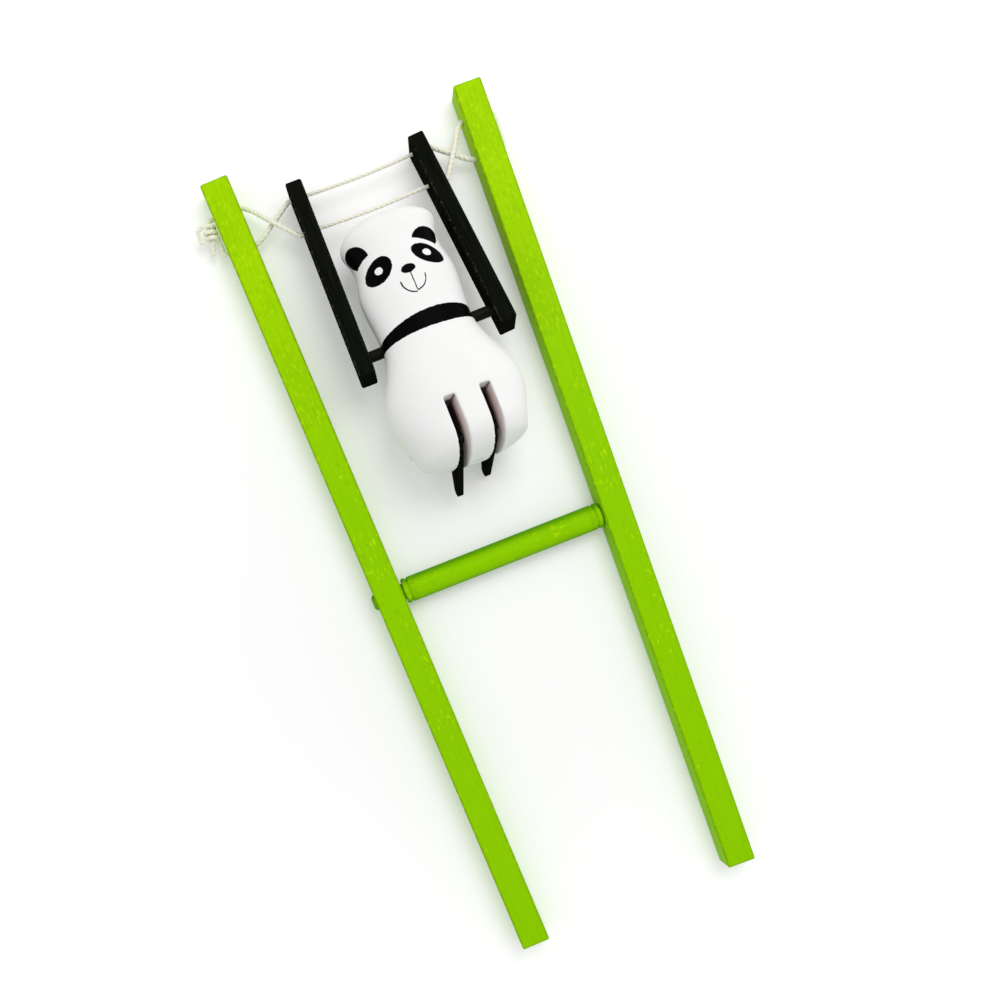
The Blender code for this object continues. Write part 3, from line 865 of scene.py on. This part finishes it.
def from_spot(place, centre, size, turn=0.0):
    """Millimetres outside an oval spot, less than 0 inside it."""
    angle = math.radians(turn)
    dx = place[0] - centre[0]
    dy = place[1] - centre[1]
    u = (dx * math.cos(angle) + dy * math.sin(angle)) / size[0]
    v = (dy * math.cos(angle) - dx * math.sin(angle)) / size[1]
    return ((u * u + v * v) ** 0.5 - 1) * min(size)


def painted(distance):
    """1 where a brush mark is, from the distance outside it."""
    return work.ease(distance, 0.07, -0.07)


def arc(centre, radius, width, left, right):
    """A brushed line of even width on part of a circle, that hangs below the circle's middle."""
    dx = wavy_x - centre[0]
    dy = wavy_y - centre[1]
    from_line = abs((dx * dx + dy * dy) ** 0.5 - radius) - width / 2
    middle = (left + right) / 2
    spread = (right - left) / 2
    from_ends = abs(wavy_x - middle) - spread
    return work.most(work.most(from_line, from_ends), dy)


eye_patches = work.least(
    from_spot(on_face, (-8.10, 17.08), (3.94, 2.97), 36.3),
    from_spot(on_face, (5.52, 17.07), (4.50, 2.475), -31.1),
)
eye_whites = work.least(
    from_spot(on_face, (-8.13, 17.07), (0.98, 0.98)), from_spot(on_face, (5.41, 17.35), (1.15, 0.92), -14.0),
)
nose = from_spot(on_face, (-1.09, 14.60), (2.00, 1.175), 2.0)
lip_x = abs(wavy_x + 0.88 + (wavy_y - 11.0) * 0.025)
lip = work.most(lip_x - 0.15, abs(wavy_y - 11.1) - 2.5)
smile = work.least(
    arc((-0.53, 12.00), 3.81, 0.36, -5.0, -0.95), arc((-0.98, 12.13), 3.55, 0.34, -0.80, 3.0),
)
left_ear = work.most(
    from_spot(on_ears, (-12.39, 21.99), (3.32, 3.32)), -1 * from_spot(on_ears, (-4.73, 10.90), (11.9, 11.9)),
)
right_ear = work.most(
    from_spot(on_ears, (6.57, 21.54), (3.30, 3.30)), -1 * from_spot(on_ears, (0.20, 12.28), (10.96, 10.96)),
)
collar_top = 3.45 - 0.0105 * (wavy_x - 1.0) ** 2
collar_bottom = -1.25 - 0.08 * work.number("SINE", wavy_x * 0.3)
collar = work.most(wavy_y - collar_top, collar_bottom - wavy_y)
front = work.ease(z, -0.5, 0.5)
face_marks = work.least(work.least(nose, lip), smile)
face_marks = work.most(painted(eye_patches) - painted(eye_whites), painted(face_marks)) * front
other_marks = work.most(painted(work.least(left_ear, right_ear)), painted(collar))
black = work.most(face_marks, other_marks)

depth = work.node("ShaderNodeAttribute", {"attribute_name": "depth_in_wood"}, {}, "Fac")
drip = work.speckle(own, 0.45, 3.0, 0.6)
bare = work.ease(depth + 5.0 * (drip - 0.5), 1.5, 7.0)
below_end = work.ease(y, slot_end * 1000 - 0.15, slot_end * 1000 - 0.75)
bare = bare * below_end * (0.2 + 0.8 * work.ease(y, -32.5, -28.0))
grain = work.speckle(work.vector("MULTIPLY", own, (1.6, 0.12, 1.6)), 1.0, 4.0, 0.6)
fine = work.speckle(own, 2.4, 3.0, 0.6)
smudge = work.ease(work.speckle(own, 0.12, 2.0, 0.5), 0.5, 0.75)
white = work.mix(smudge * 0.5, seen(249, 249, 248), seen(245, 244, 239))
white = work.mix(work.ease(depth, 0.3, 2.5) * below_end * 0.7, white, seen(250, 228, 225))
# Painted shade: deep in the slots the paint darkens almost to black.
white = work.mix(work.ease(depth, 3.9, 5.6) * 0.9, white, seen(40, 26, 24))
wood = work.mix(work.ease(grain, 0.3, 0.7), seen(254, 222, 219), seen(255, 238, 236))
# Painted shade: deep in the slots the bare wood darkens almost to black.
wood = work.mix(work.ease(depth, 4.6, 7.6) * 0.94, wood, seen(58, 28, 25))
from_wall = work.least(
    abs(x - (slot_spacing + slot_width) * 500), abs(x + (slot_spacing - slot_width) * 500),
)
# Painted shade: a dark line where the slots' walls meet their ends.
slot_corner_shade = work.ease(from_wall, 0.6, 0.2) * work.ease(abs(y - slot_end * 1000), 1.0, 0.3)
slot_corner_shade = slot_corner_shade * work.ease(depth, 0.2, 1.0)
white = work.mix(slot_corner_shade * 0.8, white, seen(70, 62, 58))
wood = work.mix(slot_corner_shade * 0.8, wood, seen(70, 50, 48))
# A small grey mark low on the belly's left side, over a shallow hollow.
from_grey_mark = work.node("ShaderNodeVectorMath", {"operation": "DISTANCE"}, {
    0: own, 1: (-16.7, -29.15, -2.2),
}, "Value")
grey_mark = work.ease(from_grey_mark, 1.15, 0.75)
scuff = work.ease(work.most(abs(x + 0.7) - 1.3, abs(z - 2.0) - 0.35), 0.15, -0.15)
scuff = scuff * work.ease(y, -36.0, -36.4) * work.ease(fine, 0.35, 0.55)
white = work.mix(grey_mark * 0.45, white, seen(176, 176, 168))
white = work.mix(scuff * 0.6, white, seen(120, 120, 112))
covered = work.mix(black, white, work.mix(fine, seen(3, 3, 3), seen(9, 9, 8)))
close_finish(work, work.paint(
    Base_Color=work.mix(bare, covered, wood),
    Roughness=0.24 + 0.10 * fine + 0.06 * black + 0.40 * bare,
    Specular_IOR_Level=0.015,
    Normal=work.raised(0.35 * black + 0.25 * fine + 0.25 * grain * bare - 0.5 * grey_mark, 0.00008),
))
body_mesh.materials.clear()
body_mesh.materials.append(face_finish)
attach(panda, "panda")
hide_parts("panda_body")


# Hip pin and legs. A straight bit of wire goes through the ribs beside the slots; on it hang two thin
# tapering plates, black on every side, which swing in their slots when the panda turns.
steel_finish, work = new_finish("blued_steel")
own = in_piece(work, hip_place)
drawn = work.speckle(work.vector("MULTIPLY", own, (0.4, 9.0, 9.0)), 1.0, 3.0, 0.6)
close_finish(work, work.paint(
    Base_Color=work.mix(drawn, seen(44, 44, 46), seen(72, 72, 74)), Metallic=1.0,
    Roughness=0.35 + 0.2 * drawn, Normal=work.raised(drawn, 0.00003),
))
dress("hip_pin", steel_finish)

leg_shift = -0.0005


def near_leg_edge(work, own):
    """1 at the tip of a leg, 0 higher up."""
    x, y, z = work.parts(own)
    return work.ease(z, -17.6, -19.4)


for name, side, drop in (("left_leg", -1, 57.0), ("right_leg", 1, 66.5)):
    place = (
        hip_place @ Matrix.Translation((side * slot_spacing / 2 + leg_shift, 0, 0))
        @ Matrix.Rotation(math.radians(drop), 4, "X")
    )
    dress(name, black_finish("black_paint_" + name, place, 2, near_leg_edge))
